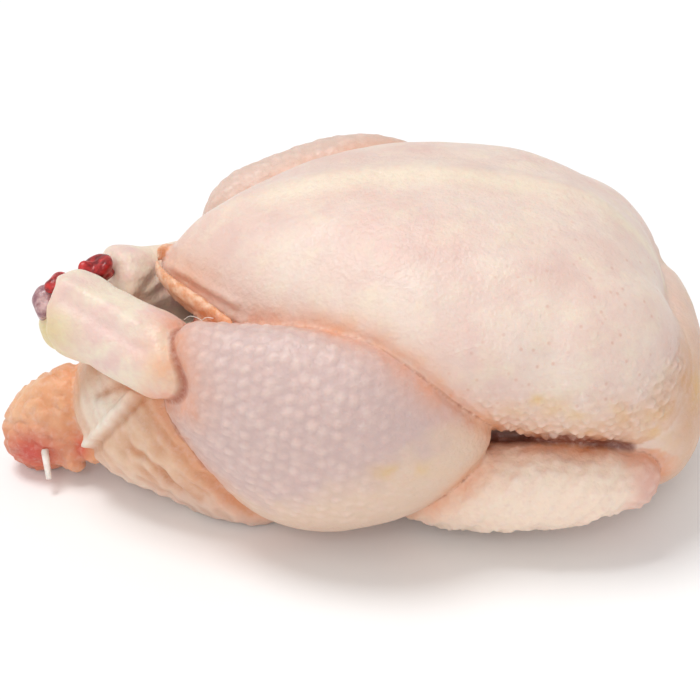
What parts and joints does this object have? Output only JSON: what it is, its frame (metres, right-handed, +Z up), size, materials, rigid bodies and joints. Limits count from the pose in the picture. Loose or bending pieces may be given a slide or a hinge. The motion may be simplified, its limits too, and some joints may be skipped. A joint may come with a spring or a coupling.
{
  "type": "whole raw chicken",
  "caption": "Plump plucked bird lying on its back, legs drawn in with bare knobbed shanks, folded wings, stub tail and an open body cavity under the breast.",
  "frame": {"origin": "on the surface that the bird lies on, under the middle of its bounding box", "axes": "+X from the tail towards the neck end, +Y across the bird towards its higher leg, +Z up through the breast"},
  "size_m": [0.264, 0.1738, 0.1201],
  "materials": {
    "skin": "raw poultry skin, pale cream pink, soft and moist, satin with fine goosebumps"
  },
  "bodies": {
    "root": {"chicken": "skin"}
  },
  "joints": []
}
